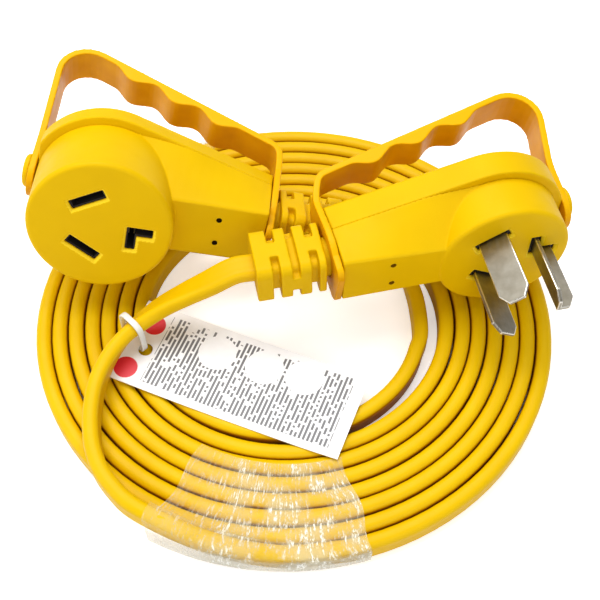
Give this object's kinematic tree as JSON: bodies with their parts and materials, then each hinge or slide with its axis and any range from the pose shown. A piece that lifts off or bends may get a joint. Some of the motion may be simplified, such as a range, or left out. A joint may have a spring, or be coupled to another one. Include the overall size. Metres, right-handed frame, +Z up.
{
  "type": "shore power cord",
  "caption": "Flat three-core shore power extension cord wound in a one-layer coil, with a blade plug, a matching connector, swinging pull handles and a hang tag.",
  "frame": {"origin": "middle of the bounding box, on the plane the coil lies on", "axes": "+Z up, +X to the right with the plug's blades towards -Y, +Y to the back, where the two handles point"},
  "size_m": [0.2446, 0.2311, 0.0882],
  "materials": {
    "housing": "semi-gloss moulded yellow plastic",
    "handle": "glossy moulded yellow-orange nylon",
    "jacket": "smooth satin cable jacket",
    "carrier": "dull black moulding",
    "blade": "nickel-plated brass, bright at the bevelled tips",
    "contact": "plain brass",
    "wire_red": "wire insulation",
    "wire_white": "wire insulation",
    "paper": "white card with faint ruled lines",
    "tie": "translucent natural nylon",
    "film": "clear wrinkled tape"
  },
  "bodies": {
    "cord": {"plug_front_shell": "housing", "plug_rear_shell": "housing", "plug_blade_carrier": "carrier", "plug_line_blade_upper": "blade", "plug_line_blade_lower": "blade", "plug_neutral_blade": "blade", "plug_terminals": "contact", "plug_line_wires": "wire_red", "plug_neutral_wire": "wire_white", "plug_strain_relief": "housing", "plug_handle_rivet": "housing", "socket_front_shell": "housing", "socket_rear_shell": "housing", "socket_contact_carrier": "carrier", "socket_line_contact_upper": "contact", "socket_line_contact_lower": "contact", "socket_neutral_contact": "contact", "socket_terminals": "contact", "socket_line_wires": "wire_red", "socket_neutral_wire": "wire_white", "socket_strain_relief": "housing", "socket_handle_rivet": "housing", "cord_coil": "jacket", "plug_lead": "jacket", "socket_lead": "jacket", "paper_tag": "paper", "tag_tie": "tie", "front_tape": "film", "rear_tape": "film"},
    "plug_pull_handle": {"plug_handle": "handle"},
    "connector_pull_handle": {"socket_handle": "handle"}
  },
  "joints": [
    {"name": "plug_handle_swing", "type": "hinge", "parent": "cord", "child": "plug_pull_handle", "pos_m": [0.0159, 0.00781, 0.0474], "axis": [0.9628, 0.2701, -0.0029], "range_deg": [-2, 130]},
    {"name": "connector_handle_swing", "type": "hinge", "parent": "cord", "child": "connector_pull_handle", "pos_m": [-0.01416, 0.03819, 0.03427], "axis": [0.9754, -0.0957, -0.1988], "range_deg": [-20, 105]}
  ]
}
